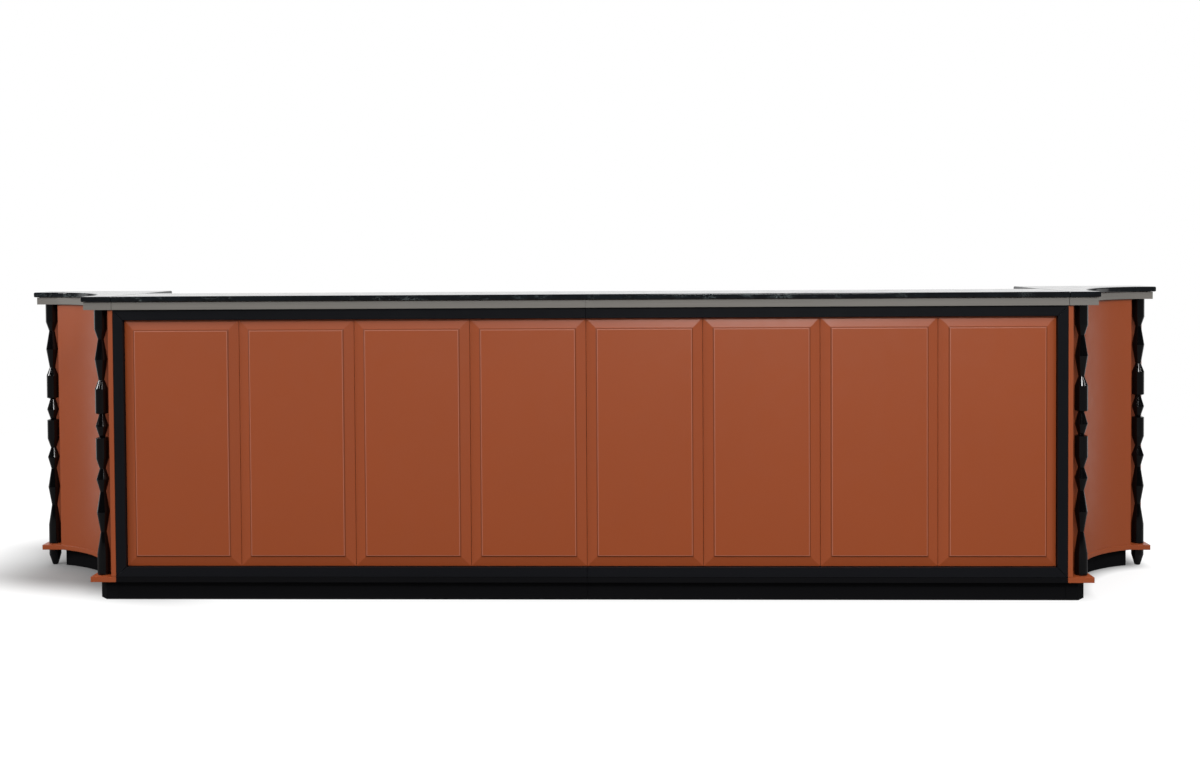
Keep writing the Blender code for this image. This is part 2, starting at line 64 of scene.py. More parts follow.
# Edges that turn by more than this are sharp
SHARP = math.radians(30)
# The same for the columns' ridges and the panels' mitres and shoulders
RIDGE = math.radians(15)
MITRE = math.radians(15)
SHOULDER = math.radians(28)
# Faces across an arris
ARRIS_STEPS = 3

# Where most of a noise pattern lies, and the ranges that a pattern is often stretched to
MIDDLE = (0.3, 0.7)
RISE = (0.0, 1.0)
FADE = (1.0, 0.0)

# Painted highlight on the rounded edge of a panel's field and painted shade in the groove beside it: how far
# out their middles lie, and how far from there they fade
BEAD_OUT = 0.0007
BEAD_FADE = (0.0006, 0.0014)
QUIRK_OUT = 0.0043
QUIRK_FADE = (0.0016, 0.0028)

# A drawer's lacquer begins this far in front of the pedestal's edge
DRAWER_FRONT_GAP = 0.0001

# Barrel of a continuous hinge: shares of its radius at the grooves and the ends, and half a groove's height
HINGE_NECK = 0.78
HINGE_TIP = 0.85
HINGE_GROOVE = 0.0006
HINGE_SIDES = 24

# Ring of a cable grommet: how far in from its outer radius or out from its inner one, and how high
RING_WIDTH = 0.0075
RING_OUTSIDE = ((0.0, 0.0), (0.0, 0.0010), (0.0006, 0.0019), (0.0020, 0.0024))
RING_INSIDE = ((0.0015, 0.0024), (0.0004, 0.0020), (0.0, 0.0012), (0.0, 0.0))

# Lid of a cable grommet, with a rounded mouth
LID_GAP = 0.0005
LID_THICKNESS = 0.0016
MOUTH_RADIUS = 0.011
MOUTH_DEPTH = 0.014
MOUTH_STEPS = 12

# Rosette of a lock: how far in from its radius, and how high
ROSETTE = ((0.0, 0.0), (0.0, 0.0012), (0.0007, 0.0020), (0.0022, 0.0024))
ROSETTE_SIDES = 48

# Plug of a lock, in two halves beside its key slot
PLUG_INSET = 0.0032
PLUG_HEIGHTS = (0.0024, 0.0032)
PLUG_STEPS = 20
KEY_SLOT_HALF = 0.0008

# The floor, and how far from its middle it starts to turn white and is white
FLOOR_HALF = 60.0
FLOOR_WHITE = (2.9, 5.5)

# How much of the floor and the room polished faces mirror, from the front to the back
FLOOR_MIRROR_Y = (0.0, 1.5)
FLOOR_MIRROR = (0.10, 1.0)
ROOM_MIRROR_Y = (0.30, 0.75)

# Shade on the floor left of the desk: where it rises and falls, with a slanted front
LEFT_SHADE_X = ((-2.7, -2.05), (-1.7, -1.3))
LEFT_SHADE_SLANT = 0.264
LEFT_SHADE_FRONT = (-0.81, -0.53)
LEFT_SHADE_BACK = (0.45, 0.80)

# Shade on the floor behind the desk
BACK_SHADE_X = ((-2.3, -1.4), (1.2, 1.9))
BACK_SHADE_Y = ((-0.1, 0.1), (0.3, 1.9))
BACK_SHADE_LEVEL = 0.65

# Shade on the floor under the right wing, beyond its sweep
SWEEP_MIDDLE = (2.249, -0.2615, 0.0)
SWEEP_SHADE_REACH = (0.42, 0.50)
SWEEP_SHADE_LEVEL = 0.9
SWEEP_SHADE_X = ((1.60, 1.72), (2.12, 2.22))
SWEEP_SHADE_Y = ((-0.30, -0.10), (0.25, 0.80))

# Name, place, aim, and width and height of each softbox
SOFTBOXES = (
    ("side_softbox", (-5.2, -1.1, 2.2), (-1.9, 0.0, 0.7), (0.95, 0.8)),
    ("left_softbox", (-3.8, -4.2, 3.4), (-1.6, 0.0, 0.8), (0.25, 0.6)),
    ("front_softbox", (1.25, -4.3, 3.6), (0.6, 0.0, 0.8), (1.7, 0.8)),
    ("right_softbox", (4.8, -2.6, 2.65), (1.9, 0.0, 0.8), (0.3, 0.6)),
)

# Width of the camera's sensor in millimetres
SENSOR_WIDTH = 36.0


def colour(name, description, default):
    """A colour that the user can change."""
    return FloatVectorProperty(
        name=name, description=description, default=default, subtype="COLOR", size=3, min=0.0, max=1.0
    )


def distance(name, description, default):
    """A length that the user can change."""
    return FloatProperty(
        name=name, description=description, default=default, subtype="DISTANCE", unit="LENGTH", precision=4
    )


def share(name, description, default):
    """A share from none to all that the user can change."""
    return FloatProperty(
        name=name, description=description, default=default, subtype="FACTOR", min=0.0, max=1.0
    )


def level(name, description, default, unit="NONE"):
    """A level of light that the user can change."""
    return FloatProperty(name=name, description=description, default=default, min=0.0, unit=unit)


def angle(name, description, default):
    """A turn that the user can change."""
    return FloatProperty(name=name, description=description, default=default, subtype="ANGLE")


class DeskFinishes(bpy.types.PropertyGroup):
    """Colours and sheens of the desk."""

    terracotta: colour("Terracotta", "Satin lacquer of the panels, wings and fronts", (0.293, 0.0595, 0.0145))
    terracotta_roughness: share("Terracotta roughness", "How softly the terracotta lacquer shines", 0.41)
    # Painted reflection: the blue in this black stands in for bluish light mirrored in the lacquer; the dark
    # itself is the lacquer's own colour
    black: colour("Black", "Satin lacquer of the front frame", (0.0046, 0.0050, 0.0068))
    black_roughness: share("Black roughness", "How softly the black lacquer shines", 0.42)
    plinth: colour("Plinth", "Matt paint of the base boards and plinths", (0.0048, 0.0048, 0.0056))
    # Painted highlight: this pale colour stands in for light caught on the rounded edge of each panel's field
    bead_highlight: colour("Bead", "Rubbed lacquer on the edges of the panels' fields", (0.385, 0.135, 0.085))
    # Painted shade: this share darkens the lacquer in the groove beside each field, where shade falls
    quirk_shade: share("Quirk", "How dark the lacquer has gathered beside the panels' fields", 0.68)
    gloss_black: colour("Gloss black", "Polished lacquer of the columns and feet", (0.0012, 0.0012, 0.0015))
    gloss_roughness: share("Gloss roughness", "How softly the polished black shines", 0.10)
    taupe: colour("Taupe", "Brushed lacquer of the boards under the stone", (0.172, 0.162, 0.147))
    laminate: colour("Laminate", "Board of the pedestals, back boards and shelves", (0.014, 0.014, 0.015))
    worktop: colour("Worktop", "Laminate of the staff worktops", (0.150, 0.138, 0.122))
    drawer_box: colour("Drawer box", "Board of the drawer boxes behind their fronts", (0.070, 0.068, 0.066))
    plastic: colour("Plastic", "Moulded plastic of the cable grommets", (0.012, 0.012, 0.013))
    stone: colour("Stone", "Ground of the black marble", (0.0023, 0.0030, 0.0042))
    stone_cloud: colour("Stone cloud", "Paler clouds in the black marble", (0.0062, 0.0090, 0.0118))
    stone_vein: colour("Stone vein", "Fine veins in the black marble", (0.115, 0.140, 0.142))
    steel: colour("Steel", "Satin steel of the hinges and locks", (0.55, 0.55, 0.56))


class DeskEdges(bpy.types.PropertyGroup):
    """How far the arrises are taken off and the joints stand open."""

    board: distance("Boards", "Arris taken off the lacquered boards", 0.0008)
    panel: distance("Panels", "Arris taken off the fielded panels", 0.0010)
    wing: distance("Wings", "Arris taken off the wings' boards", 0.0014)
    wing_base: distance("Wing bases", "Rounding of the wings' base boards", 0.0026)
    stone: distance("Stone", "Rounding of the stone's edges", 0.0016)
    column: distance("Columns", "Rounding of the ridges on the turned columns", 0.0006)
    joint: distance("Joints", "How far a rail or a slab stands back from its neighbour", 0.0005)
    wing_joint: distance("Wing joints", "Open joint between a wing's top board and the counter's", 0.0014)


class DeskFittings(bpy.types.PropertyGroup):
    """Small fittings on the staff side."""

    grommet_radius: distance("Grommet radius", "Outer radius of the cable grommets", 0.042)
    grommet_setback: distance("Grommet setback", "From the back board to a grommet's middle", 0.085)
    grommet_sides: IntProperty(
        name="Grommet sides", description="Sides of a round cable grommet", default=64, min=24, max=128
    )
    lock_radius: distance("Lock radius", "Radius of a lock's rosette", 0.0095)
    lock_drop: distance("Lock drop", "From the top of the upper drawer front to its lock", 0.035)
    lock_inset: distance("Lock inset", "From the free edge of a door to its lock", 0.036)
    knuckle: distance("Knuckle", "Length of one knuckle of the continuous hinges", 0.0315)


class DeskStudio(bpy.types.PropertyGroup):
    """Camera, lamps and floor."""

    camera_place: FloatVectorProperty(
        name="Camera", description="Where the camera stands", default=(0.1035, -4.5432, 1.2618),
        subtype="TRANSLATION", unit="LENGTH", size=3,
    )
    camera_yaw: angle("Yaw", "Turn to the left", 0.0253)
    camera_pitch: angle("Pitch", "Tilt down", 0.02223)
    camera_roll: angle("Roll", "Lean to the left", -0.0062)
    lens: FloatProperty(name="Lens", description="Focal length in millimetres", default=36.0, min=1.0)
    shift: FloatVectorProperty(
        name="Shift", description="Shift of the frame across and up", default=(0.01316, -0.09551), size=2
    )
    softbox_power: level("Softboxes", "Power of one square metre of softbox", 88.0, "POWER")
    fill: level("Fill", "Level of the soft light from all round", 0.88)
    dome: level("Dome", "Soft light added from above", 0.55)
    front_dimness: share("Front", "Level of the room that polished faces mirror in front of the desk", 0.03)
    floor: colour("Floor", "Colour of the floor as it is seen", (0.265, 0.265, 0.265))
    floor_bounce: colour("Floor bounce", "Colour that the floor throws back on the desk", (0.06, 0.06, 0.06))
    floor_glow: share("Floor glow", "White added to the floor as it is seen near the desk", 0.72)


def connect(tree, node, inputs):
    """Sets a node's inputs, or links them to other nodes."""
    for key, value in inputs.items():
        if isinstance(value, bpy.types.NodeSocket):
            tree.links.new(value, node.inputs[key])
        else:
            node.inputs[key].default_value = value


def add(tree, kind, inputs=None, **settings):
    """Adds a node with its settings and inputs."""
    node = tree.nodes.new(kind)
    for key, value in settings.items():
        setattr(node, key, value)
    connect(tree, node, inputs or {})
    return node


def point_on(tree):
    """The point on the piece."""
    return add(tree, "ShaderNodeTexCoord").outputs["Object"]


def axes_of(tree, point):
    """The X, Y and Z of a point."""
    return add(tree, "ShaderNodeSeparateXYZ", {"Vector": point}).outputs


def place_in(tree, stretch=(1.0, 1.0, 1.0), turn=(0.0, 0.0, 0.0)):
    """The point on the piece, stretched and turned for a pattern."""
    mapping = {"Vector": point_on(tree), "Scale": stretch, "Rotation": turn}
    return add(tree, "ShaderNodeMapping", mapping).outputs["Vector"]


def cloud(tree, point, scale, detail=2.0, rough=0.5):
    """A noise pattern from nought to one."""
    inputs = {"Vector": point, "Scale": scale, "Detail": detail, "Roughness": rough}
    return add(tree, "ShaderNodeTexNoise", inputs).outputs["Fac"]


def remap(tree, value, given, wanted=RISE, step="LINEAR"):
    """Stretches part of a pattern to a new range."""
    inputs = {
        "Value": value,
        "From Min": given[0],
        "From Max": given[1],
        "To Min": wanted[0],
        "To Max": wanted[1],
    }
    return add(tree, "ShaderNodeMapRange", inputs, interpolation_type=step).outputs["Result"]


def sums(tree, operation, first, second=0.0):
    """One step of arithmetic on patterns."""
    return add(tree, "ShaderNodeMath", {0: first, 1: second}, operation=operation).outputs["Value"]


def product(tree, first, *others):
    """Patterns multiplied with each other."""
    for other in others:
        first = sums(tree, "MULTIPLY", first, other)
    return first


def apart(tree, value, middle):
    """How far a pattern lies from a middle."""
    return sums(tree, "ABSOLUTE", sums(tree, "SUBTRACT", value, middle))


def band(tree, value, rise, fall):
    """One between a rise and a fall, and nought outside them."""
    rising = remap(tree, value, rise, RISE, "SMOOTHSTEP")
    return sums(tree, "MINIMUM", rising, remap(tree, value, fall, FADE, "SMOOTHSTEP"))


def hairlines(tree, pattern, width, strength=1.0):
    """Fine lines where a noise pattern passes its middle."""
    return remap(tree, apart(tree, pattern, 0.5), (0.0, width), (strength, 0.0))


def between(tree, amount, first, second):
    """A colour between two others."""
    inputs = {0: amount, 6: first, 7: second}
    return add(tree, "ShaderNodeMix", inputs, data_type="RGBA").outputs[2]


def midway(tree, amount, first, second):
    """A value between two others."""
    return add(tree, "ShaderNodeMix", {0: amount, 2: first, 3: second}).outputs[0]


def relief(tree, height, strength, depth):
    """Fine relief from a pattern."""
    inputs = {"Height": height, "Strength": strength, "Distance": depth}
    return add(tree, "ShaderNodeBump", inputs).outputs["Normal"]


def toned(color, factor=1.0):
    """A colour as it is, or made darker or lighter."""
    return (color[0] * factor, color[1] * factor, color[2] * factor, 1.0)


def new_finish(name):
    """A fresh material with its tree and shader."""
    finish = bpy.data.materials.new(name)
    finish.use_nodes = True
    return finish, finish.node_tree, finish.node_tree.nodes["Principled BSDF"]


def shared(name, make):
    """A material that several operators give, made once."""
    return bpy.data.materials.get(name) or make()


def sprayed(name, color, roughness, specular, drift, peel):
    """A sprayed lacquer: slow drift of colour, uneven sheen and a fine orange peel."""
    finish, tree, shader = new_finish(name)
    point = place_in(tree)
    slow = cloud(tree, point, scale=2.4, detail=3.0)
    sheen = cloud(tree, point, scale=18.0, detail=3.0)
    skin = cloud(tree, point, scale=520.0, detail=2.0)
    inputs = {
        "Base Color": between(tree, slow, toned(color, 1.0 - drift), toned(color, 1.0 + drift)),
        "Roughness": remap(tree, sheen, MIDDLE, (roughness - 0.03, roughness + 0.03)),
        "Normal": relief(tree, skin, strength=peel, depth=0.0004),
        "Specular IOR Level": specular,
    }
    connect(tree, shader, inputs)
    return finish


def terracotta_lacquer(name="terracotta lacquer"):
    """Satin lacquer of the wings and doors."""
    look = bpy.context.scene.desk_finishes
    return sprayed(
        name, look.terracotta, look.terracotta_roughness, specular=0.48, drift=0.035, peel=0.10
    )


def panel_lacquer():
    """Terracotta lacquer, with a painted highlight on the rounded edge of a panel's field and painted shade
    in the groove beside it.
    """
    look = bpy.context.scene.desk_finishes
    finish = terracotta_lacquer("panel lacquer")
    tree = finish.node_tree
    shader = tree.nodes["Principled BSDF"]
    lacquer = shader.inputs["Base Color"].links[0].from_socket
    second, third = (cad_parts[f"front_panel_{i}"] for i in (2, 3))
    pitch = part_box(third.name)[0].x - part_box(second.name)[0].x
    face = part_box(second.name)[0].y
    field = [v.co for v in second.data.vertices if v.co.y < face + SAME_POINT]
    left, right = min(co.x for co in field), max(co.x for co in field)
    low, high = min(co.z for co in field), max(co.z for co in field)
    axes = axes_of(tree, point_on(tree))
    across = sums(tree, "PINGPONG", sums(tree, "SUBTRACT", axes["X"], (left + right) / 2), pitch / 2)
    upward = apart(tree, axes["Z"], (low + high) / 2)
    beyond = sums(
        tree,
        "MAXIMUM",
        sums(tree, "SUBTRACT", across, (right - left) / 2),
        sums(tree, "SUBTRACT", upward, (high - low) / 2),
    )
    # Painted highlight on the field's rounded edge
    bead_highlight_mask = remap(tree, apart(tree, beyond, BEAD_OUT), BEAD_FADE, FADE)
    # Painted shade in the groove beside the field
    painted_quirk_shade = remap(tree, apart(tree, beyond, QUIRK_OUT), QUIRK_FADE, FADE)
    shade = between(tree, painted_quirk_shade, lacquer, toned(look.terracotta, look.quirk_shade))
    connect(tree, shader, {"Base Color": between(tree, bead_highlight_mask, shade, toned(look.bead_highlight))})
    return finish


def drawer_finish():
    """Lacquer on a drawer's front, and grey board on the box behind it."""
    look = bpy.context.scene.desk_finishes
    finish = terracotta_lacquer("drawer lacquer and board")
    tree = finish.node_tree
    shader = tree.nodes["Principled BSDF"]
    lacquer = shader.inputs["Base Color"].links[0].from_socket
    fleck = cloud(tree, place_in(tree, stretch=(60.0, 240.0, 240.0)), scale=1.0, detail=3.0)
    board = between(tree, fleck, toned(look.drawer_box, 0.85), toned(look.drawer_box, 1.15))
    depth = axes_of(tree, point_on(tree))["Y"]
    behind = sums(tree, "LESS_THAN", depth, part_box("pedestal_left")[1].y + DRAWER_FRONT_GAP)
    connect(tree, shader, {"Base Color": between(tree, behind, lacquer, board)})
    return finish


def black_lacquer():
    """Satin lacquer of the front frame."""
    look = bpy.context.scene.desk_finishes
    return sprayed(
        "black satin lacquer", look.black, look.black_roughness, specular=0.20, drift=0.10, peel=0.08
    )


def plinth_paint():
    """Matt paint of the base boards and plinths."""
    look = bpy.context.scene.desk_finishes
    return sprayed("black matt paint", look.plinth, roughness=0.60, specular=0.05, drift=0.10, peel=0.20)


def gloss_lacquer():
    """Polished lacquer of the columns and feet."""
    look = bpy.context.scene.desk_finishes
    return sprayed(
        "black gloss lacquer", look.gloss_black, look.gloss_roughness, specular=0.40, drift=0.10, peel=0.01
    )


def board_laminate():
    """Black laminate of the boards that the staff see."""
    look = bpy.context.scene.desk_finishes
    return sprayed("black laminate", look.laminate, roughness=0.50, specular=0.30, drift=0.12, peel=0.35)


def moulded_plastic():
    """Plastic of the cable grommets."""
    look = bpy.context.scene.desk_finishes
    return sprayed(
        "black moulded plastic", look.plastic, roughness=0.48, specular=0.45, drift=0.05, peel=0.45
    )


def brushed(name, color, stretch, roughness, contrast):
    """A lacquer brushed in long fine lines."""
    finish, tree, shader = new_finish(name)
    lines = cloud(tree, place_in(tree, stretch), scale=1.0, detail=4.0, rough=0.6)
    slow = cloud(tree, place_in(tree), scale=3.0, detail=2.0)
    mixed = sums(tree, "ADD", product(tree, lines, 0.7), product(tree, slow, 0.3))
    tone = remap(tree, mixed, (0.25, 0.75))
    inputs = {
        "Base Color": between(tree, tone, toned(color, 1.0 - contrast), toned(color, 1.0 + contrast)),
        "Roughness": remap(tree, lines, MIDDLE, (roughness - 0.05, roughness + 0.05)),
        "Normal": relief(tree, lines, strength=0.12, depth=0.0002),
        "Specular IOR Level": 0.40,
    }
    connect(tree, shader, inputs)
    return finish


def taupe_lacquer():
    """Lacquer of the boards under the stone, brushed along them."""
    look = bpy.context.scene.desk_finishes
    return brushed("taupe lacquer", look.taupe, stretch=(4.0, 4.0, 420.0), roughness=0.38, contrast=0.10)


def worktop_laminate():
    """Laminate of the worktops, with a fine grain along them."""
    look = bpy.context.scene.desk_finishes
    return brushed(
        "worktop laminate", look.worktop, stretch=(5.0, 190.0, 190.0), roughness=0.46, contrast=0.14
    )


def black_marble():
    """Polished black marble: dark ground, greyish clouds, broken hairline veins."""
    look = bpy.context.scene.desk_finishes
    finish, tree, shader = new_finish("black marble")
    point = place_in(tree, stretch=(1.0, 1.0, 1.6), turn=(0.5, 0.3, 0.6))
    swirl = add(tree, "ShaderNodeTexNoise", {"Vector": point, "Scale": 5.0, "Detail": 4.0}).outputs["Color"]
    bend = {0: swirl, 1: (0.16, 0.16, 0.16)}
    bent = add(tree, "ShaderNodeVectorMath", bend, operation="MULTIPLY").outputs[0]
    warped = add(tree, "ShaderNodeVectorMath", {0: point, 1: bent}, operation="ADD").outputs[0]
    clouds = remap(tree, cloud(tree, warped, scale=16.0, detail=7.0, rough=0.62), (0.42, 0.72))
    ground = between(tree, clouds, toned(look.stone), toned(look.stone_cloud))
    clusters = remap(tree, cloud(tree, point, scale=2.6, detail=2.0), (0.50, 0.64))
    broken = remap(tree, cloud(tree, point, scale=14.0, detail=3.0), (0.47, 0.60))
    long_veins = hairlines(tree, cloud(tree, warped, scale=4.2, detail=5.0, rough=0.55), width=0.012)
    long_veins = product(tree, long_veins, broken, remap(tree, clusters, RISE, (0.25, 1.0)))
    fine_veins = cloud(tree, warped, scale=38.0, detail=4.0, rough=0.65)
    fine_veins = product(tree, hairlines(tree, fine_veins, width=0.045, strength=0.9), broken, clusters)
    veins = sums(tree, "MAXIMUM", long_veins, fine_veins)
    inputs = {
        "Base Color": between(tree, veins, ground, toned(look.stone_vein)),
        "Roughness": remap(tree, clouds, RISE, (0.09, 0.15)),
        "Specular IOR Level": 0.50,
    }
    connect(tree, shader, inputs)
    return finish


def satin_steel():
    """Steel brushed along its length."""
    look = bpy.context.scene.desk_finishes
    finish, tree, shader = new_finish("satin steel")
    lines = cloud(tree, place_in(tree, stretch=(900.0, 900.0, 14.0)), scale=1.0, detail=3.0)
    inputs = {
        "Base Color": between(tree, lines, toned(look.steel, 0.85), toned(look.steel, 1.1)),
        "Roughness": remap(tree, lines, MIDDLE, (0.24, 0.36)),
        "Normal": relief(tree, lines, strength=0.15, depth=0.0002),
        "Metallic": 1.0,
    }
    connect(tree, shader, inputs)
    return finish


def whole_skin():
    """Node group that joins a frame piece's split corners and marks its sharp edges."""
    name = "whole skin"
    if name in bpy.data.node_groups:
        return bpy.data.node_groups[name]
    group = bpy.data.node_groups.new(name, "GeometryNodeTree")
    group.interface.new_socket("Geometry", in_out="INPUT", socket_type="NodeSocketGeometry")
    group.interface.new_socket("Sharp angle", in_out="INPUT", socket_type="NodeSocketFloat")
    group.interface.new_socket("Geometry", in_out="OUTPUT", socket_type="NodeSocketGeometry")
    given = add(group, "NodeGroupInput")
    merge = {"Geometry": given.outputs[0], "Distance": SAME_POINT}
    joined = add(group, "GeometryNodeMergeByDistance", merge)
    turn = add(group, "GeometryNodeInputMeshEdgeAngle").outputs["Unsigned Angle"]
    sharp = add(group, "FunctionNodeCompare", {"A": turn, "B": given.outputs[1]}, operation="GREATER_THAN")
    normals = {"Mesh": joined.outputs[0], "Remove Custom": True, "Edge Sharpness": sharp.outputs[0]}
    shaded = add(group, "GeometryNodeSetMeshNormal", normals)
    add(group, "NodeGroupOutput", {0: shaded.outputs[0]})
    return group


def frame_nodes(*prefixes):
    """Frame pieces whose names start so."""
    found = [node for name, node in sorted(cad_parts.items()) if name.startswith(prefixes)]
    if not found:
        raise RuntimeError(f"The frame has no piece named {prefixes}")
    return found


def open_joint(node, strength, direction="NORMAL"):
    """Draws a frame piece back from its neighbours."""
    draw_back = node.modifiers.new("joint", "DISPLACE")
    draw_back.direction = direction
    draw_back.mid_level = 0.0
    draw_back.strength = strength


def dress(nodes, finish, arris, sharp_angle=SHARP, arris_angle=None, joint=0.0):
    """Gives frame pieces their finish, draws them back at their joints, and takes their arrises off."""
    for node in nodes:
        node.material_slots[0].material = finish
        skin = node.modifiers.new("whole skin", "NODES")
        skin.node_group = whole_skin()
        skin[skin.node_group.interface.items_tree["Sharp angle"].identifier] = sharp_angle
        if joint:
            # A square corner moves along its diagonal, so each of its faces moves by the joint
            open_joint(node, -joint * math.sqrt(3.0))
        ease = node.modifiers.new("arris", "BEVEL")
        ease.width = arris
        ease.segments = ARRIS_STEPS
        ease.limit_method = "ANGLE"
        ease.angle_limit = arris_angle or sharp_angle
        ease.harden_normals = True


def new_piece(name, bm, finish, body, matrix=None):
    """A piece from a finished mesh, riding on a body of the frame."""
    bmesh.ops.recalc_face_normals(bm, faces=bm.faces)
    mesh = bpy.data.meshes.new(name)
    bm.to_mesh(mesh)
    bm.free()
    mesh.materials.append(finish)
    mesh.shade_smooth()
    mesh.set_sharp_from_angle(angle=SHARP)
    piece = bpy.data.objects.new(name, mesh)
    bpy.context.scene.collection.objects.link(piece)
    if matrix is not None:
        mesh.transform(matrix)
    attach(piece, body)
    return piece


def turned(profile, sides, closed=False):
    """A round form about Z from radii and heights, capped, or joined end to end."""
    bm = bmesh.new()
    turns = [math.tau * i / sides for i in range(sides)]
    rows = [
        [bm.verts.new((radius * math.cos(a), radius * math.sin(a), height)) for a in turns]
        for radius, height in profile
    ]
    pairs = list(zip(rows, rows[1:]))
    if closed:
        pairs.append((rows[-1], rows[0]))
    else:
        bm.faces.new(rows[0])
        bm.faces.new(rows[-1])
    for low, high in pairs:
        for i in range(sides):
            j = (i + 1) % sides
            bm.faces.new((low[i], low[j], high[j], high[i]))
    return bm


def raised(outline, low, high):
    """A flat outline thickened from one height to another."""
    bm = bmesh.new()
    rows = [[bm.verts.new((x, y, z)) for x, y in outline] for z in (low, high)]
    bm.faces.new(rows[0])
    bm.faces.new(rows[1])
    for i in range(len(outline)):
        j = (i + 1) % len(outline)
        bm.faces.new((rows[0][i], rows[0][j], rows[1][j], rows[1][i]))
    return bm


def facing_staff(where):
    """Turns a fitting drawn lying on Z to face the staff at a point."""
    return Matrix.Translation(where) @ Matrix.Rotation(-math.pi / 2, 4, "X")


class DeskOperator:
    """What the desk's operators share."""

    bl_options = {"REGISTER", "UNDO"}

    def execute(self, context):
        self.make(context.scene)
        return {"FINISHED"}


class DESK_OT_front_panels(DeskOperator, bpy.types.Operator):
    """Lacquer the raised and fielded panels of the front"""

    bl_idname = "desk.front_panels"
    bl_label = "Front panels"

    def make(self, scene):
        dress(frame_nodes("front_panel_"), panel_lacquer(), scene.desk_edges.panel, MITRE, SHOULDER)


class DESK_OT_front_frame(DeskOperator, bpy.types.Operator):
    """Lacquer the mitred frame, the base boards and the plinths"""

    bl_idname = "desk.front_frame"
    bl_label = "Front frame and plinths"

    def make(self, scene):
        edges = scene.desk_edges
        nodes = frame_nodes("top_rail_", "bottom_rail_", "stile_")
        dress(nodes, black_lacquer(), edges.board, joint=edges.joint)
        nodes = frame_nodes("counter_base_", "counter_plinth_", "wing_plinth_")
        dress(nodes, plinth_paint(), edges.board)


class DESK_OT_wing_shells(DeskOperator, bpy.types.Operator):
    """Lacquer the swept wings, with their bases, side boards and stiles"""

    bl_idname = "desk.wing_shells"
    bl_label = "Wings"

    def make(self, scene):
        edges = scene.desk_edges
        finish = shared("terracotta lacquer", terracotta_lacquer)
        dress(frame_nodes("wing_side_", "wing_curved_panel_", "wing_rear_stile_"), finish, edges.wing)
        dress(frame_nodes("wing_base_"), finish, edges.wing_base)


class DESK_OT_columns(DeskOperator, bpy.types.Operator):
    """Polish the turned columns and the feet under the rear ones"""

    bl_idname = "desk.columns"
    bl_label = "Columns and feet"

    def make(self, scene):
        nodes = frame_nodes("front_column_", "rear_column_", "rear_foot_")
        dress(nodes, gloss_lacquer(), scene.desk_edges.column, RIDGE)


class DESK_OT_top_boards(DeskOperator, bpy.types.Operator):
    """Brush the taupe boards under the stone"""

    bl_idname = "desk.top_boards"
    bl_label = "Top boards"

    def make(self, scene):
        edges = scene.desk_edges
        dress(frame_nodes("counter_board_", "wing_board_"), taupe_lacquer(), edges.board)
        for word, side in SIDES:
            open_joint(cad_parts[f"wing_board_{word}"], side * edges.wing_joint, "X")


class DESK_OT_stone_tops(DeskOperator, bpy.types.Operator):
    """Polish the marble tops and round their edges"""

    bl_idname = "desk.stone_tops"
    bl_label = "Stone tops"

    def make(self, scene):
        edges = scene.desk_edges
        dress(frame_nodes("counter_slab", "wing_slab_"), black_marble(), edges.stone, joint=edges.joint)


class DESK_OT_staff_boards(DeskOperator, bpy.types.Operator):
    """Laminate the worktops, the pedestals, the gable, the shelves and the back boards"""

    bl_idname = "desk.staff_boards"
    bl_label = "Staff boards"

    def make(self, scene):
        dress(frame_nodes("worktop_"), worktop_laminate(), scene.desk_edges.board)
        nodes = frame_nodes("back_board_", "centre_gable", "pedestal_", "wing_shelf_")
        dress(nodes, board_laminate(), scene.desk_edges.board)


class DESK_OT_doors_and_drawers(DeskOperator, bpy.types.Operator):
    """Lacquer the wing doors and the drawers"""

    bl_idname = "desk.doors_and_drawers"
    bl_label = "Doors and drawers"

    def make(self, scene):
        doors = [node for node in frame_nodes("wing_door_") if "hinge" not in node.name]
        dress(doors, shared("terracotta lacquer", terracotta_lacquer), scene.desk_edges.board)
        dress(frame_nodes("drawer_"), drawer_finish(), scene.desk_edges.board)


class DESK_OT_hinges(DeskOperator, bpy.types.Operator):
    """Make the knuckles and leaves of the continuous hinges on the wing doors"""

    bl_idname = "desk.hinges"
    bl_label = "Door hinges"

    def make(self, scene):
        steel = shared("satin steel", satin_steel)
        for word, _ in SIDES:
            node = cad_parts[f"wing_door_hinge_{word}"]
            low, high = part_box(node.name)
            radius = (high.x - low.x) / 2
            neck = radius * HINGE_NECK
            x, y = (low.x + high.x) / 2, high.y - radius
            outline = self.knuckles(low.z, high.z, radius, neck, scene.desk_fittings.knuckle)
            barrel = new_piece(
                f"hinge_barrel_{word}", turned(outline, HINGE_SIDES), steel, "desk",
                Matrix.Translation((x, y, 0.0)),
            )
            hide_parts(node.name)
            edge = [v.co.x for v in node.data.vertices if v.co.y < low.y + SAME_POINT]
            leaf = [(min(edge), low.y), (max(edge), low.y), (max(edge), y - neck), (min(edge), y - neck)]
            new_piece(f"hinge_leaf_{word}", raised(leaf, low.z, high.z), steel, "desk")

    def knuckles(self, low, high, radius, neck, length):
        """Outline of a barrel of equal knuckles, with a groove between each two."""
        count = round((high - low) / length)
        step = (high - low) / count
        tip = radius * HINGE_TIP
        outline = [(tip, low), (radius, low + HINGE_GROOVE)]
        for i in range(1, count):
            z = low + i * step
            outline += [(radius, z - HINGE_GROOVE), (neck, z - HINGE_GROOVE)]
            outline += [(neck, z + HINGE_GROOVE), (radius, z + HINGE_GROOVE)]
        outline += [(radius, high - HINGE_GROOVE), (tip, high)]
        return outline


